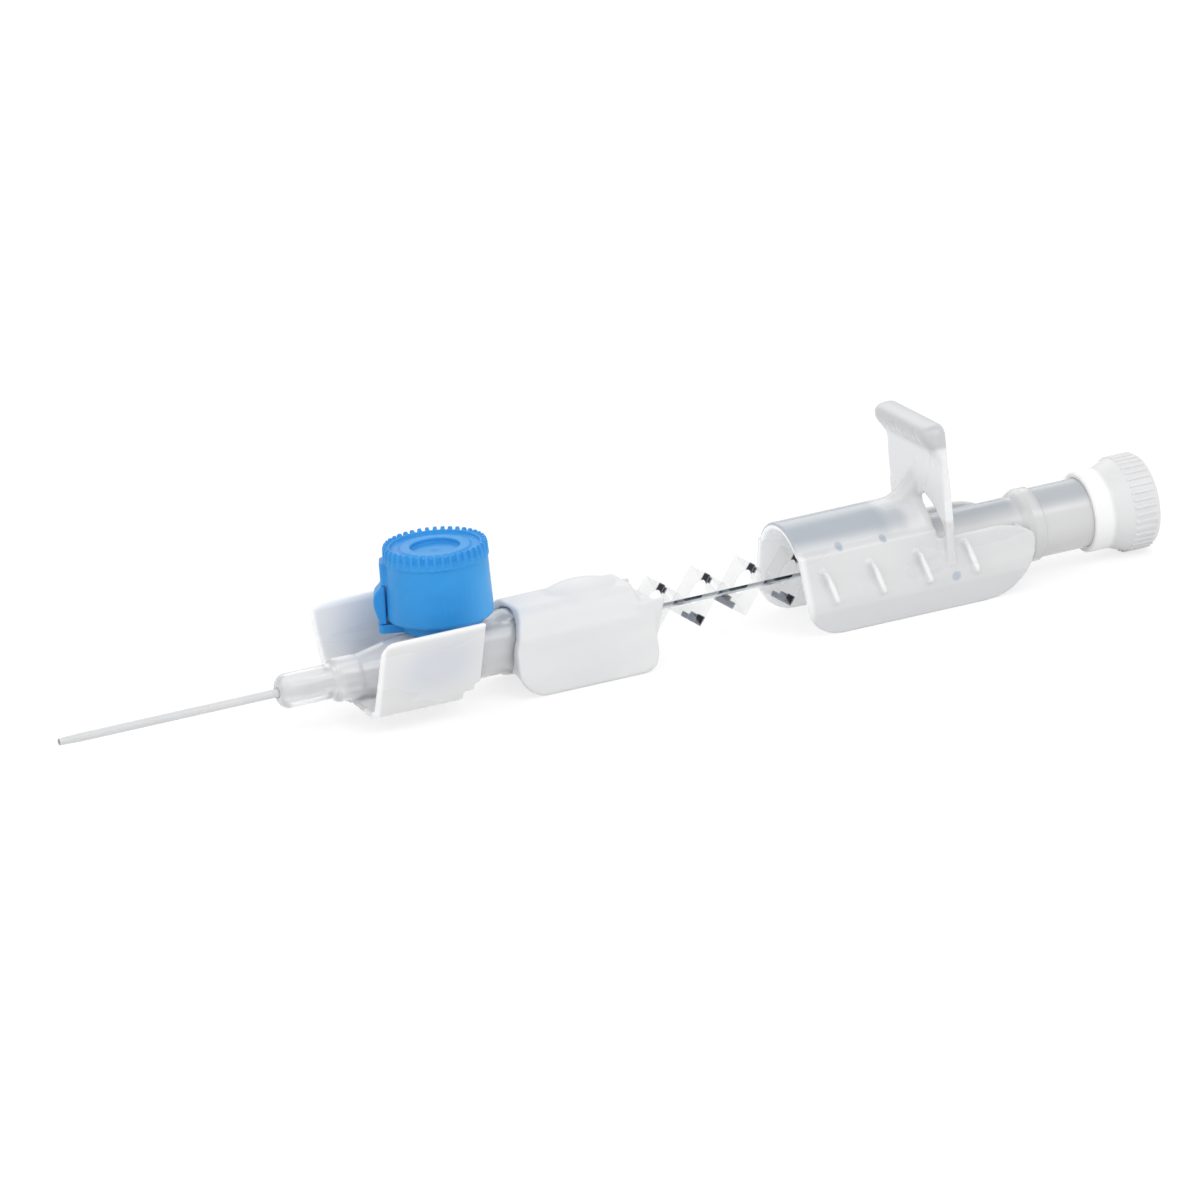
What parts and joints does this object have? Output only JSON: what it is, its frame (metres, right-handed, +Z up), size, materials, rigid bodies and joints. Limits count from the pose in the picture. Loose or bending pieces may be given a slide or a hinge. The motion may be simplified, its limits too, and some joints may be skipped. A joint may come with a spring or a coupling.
{
  "type": "intravenous cannula",
  "caption": "Winged safety intravenous cannula with an injection port, its steel needle part way out on a pleated tether between the tip guard and the clear finger grip.",
  "frame": {"origin": "on the floor under the middle of the length, in the symmetry plane of the wings", "axes": "+X along the needle from the catheter tip to the end plug, +Z up through the port and fin"},
  "size_m": [0.1258, 0.0188, 0.02],
  "materials": {
    "tube_polymer": "translucent fluoropolymer tube, satin",
    "clear_polymer": "clear moulded polypropylene, lightly frosted",
    "blue_polymer": "moulded polyethylene, satin, colour code of the 0.9 mm size",
    "white_polymer": "white moulded polypropylene, satin",
    "film": "translucent polyester film, glossy",
    "steel": "bright drawn stainless steel",
    "silicone": "translucent silicone",
    "filter_fibre": "white porous vent membrane"
  },
  "bodies": {
    "guard": {"guard_housing": "white_polymer", "guard_cover": "white_polymer", "guard_clip": "steel", "tether_strip": "film"},
    "grip": {"grip_shell": "clear_polymer", "flash_chamber": "clear_polymer", "needle": "steel"},
    "plug": {"end_plug": "white_polymer", "vent_filter": "filter_fibre"},
    "catheter": {"catheter_tube": "tube_polymer", "catheter_wedge": "steel", "catheter_hub": "clear_polymer", "port_valve": "silicone"},
    "collar": {"cap_collar": "blue_polymer", "cap_strap": "blue_polymer"},
    "cap": {"port_cap": "blue_polymer"}
  },
  "joints": [
    {"name": "needle_slide", "type": "slide", "parent": "guard", "child": "grip", "axis": [1, 0, 0], "range_m": [-0.03, 0.0265], "deforming": ["tether_strip"]},
    {"name": "plug_pull", "type": "slide", "parent": "grip", "child": "plug", "axis": [1, 0, 0], "range_m": [0, 0.01]},
    {"name": "catheter_release", "type": "slide", "parent": "guard", "child": "catheter", "axis": [-1, 0, 0], "range_m": [0, 0.055]},
    {"name": "cap_turn", "type": "hinge", "parent": "catheter", "child": "collar", "pos_m": [-0.01852, 0, 0.0085], "axis": [0, 0, 1], "range_deg": [-90, 90]},
    {"name": "cap_lift", "type": "slide", "parent": "collar", "child": "cap", "axis": [0, 0, 1], "range_m": [0, 0.006], "deforming": ["cap_strap"]}
  ]
}
